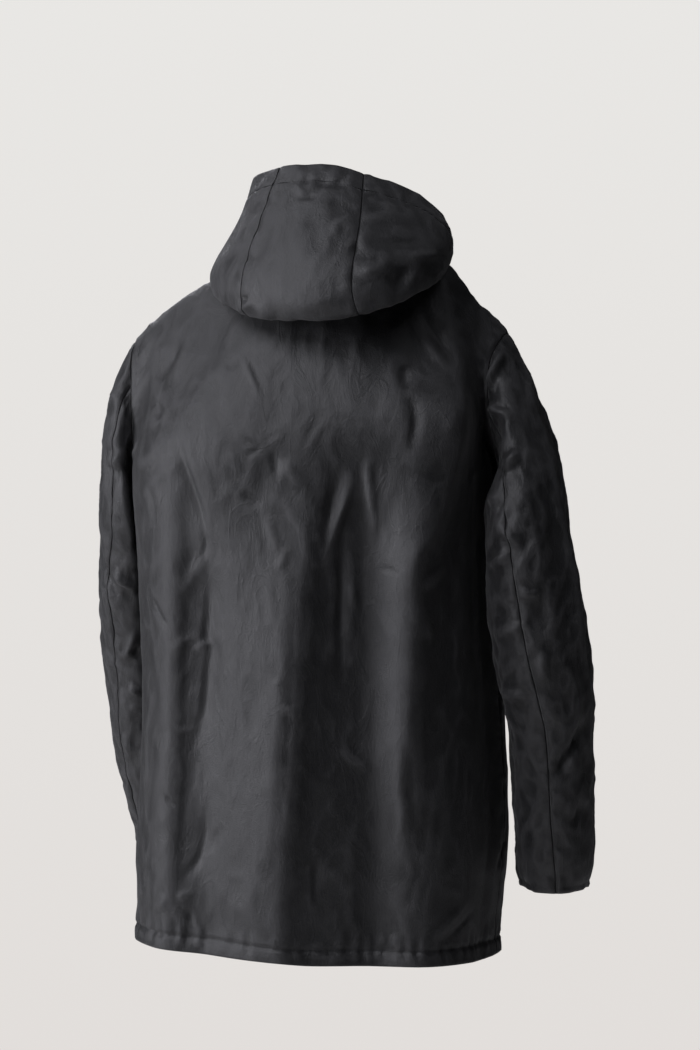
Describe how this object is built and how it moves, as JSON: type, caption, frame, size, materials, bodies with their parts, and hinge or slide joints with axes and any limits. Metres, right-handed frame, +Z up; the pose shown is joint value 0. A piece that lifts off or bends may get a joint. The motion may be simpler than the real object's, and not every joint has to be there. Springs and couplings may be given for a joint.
{
  "type": "hooded waxed cotton jacket",
  "caption": "Men's thigh-length waxed cotton jacket in its worn hollow shape, with a three-panel hood pushed back, two-piece sleeves and a stud-closed front.",
  "frame": {"origin": "at neck height between the shoulders, on the level of the centre back neck seam, where the wearer carries the jacket", "axes": "+Z up along the wearer's height, -Y is the front, +Y the back, +X the wearer's left"},
  "size_m": [0.6129, 0.4066, 0.9084],
  "materials": {
    "waxed_cotton": "near-black waxed cotton with a soft, broken sheen",
    "stud_metal": "dark antiqued press stud"
  },
  "bodies": {
    "root": {"back": "waxed_cotton", "front_left": "waxed_cotton", "front_right": "waxed_cotton", "storm_flap": "waxed_cotton", "upper_sleeve_left": "waxed_cotton", "under_sleeve_left": "waxed_cotton", "upper_sleeve_right": "waxed_cotton", "under_sleeve_right": "waxed_cotton", "hood_centre": "waxed_cotton", "hood_side_left": "waxed_cotton", "hood_side_right": "waxed_cotton", "stud_1": "stud_metal", "stud_2": "stud_metal", "stud_3": "stud_metal", "stud_4": "stud_metal", "stud_5": "stud_metal"}
  },
  "joints": []
}
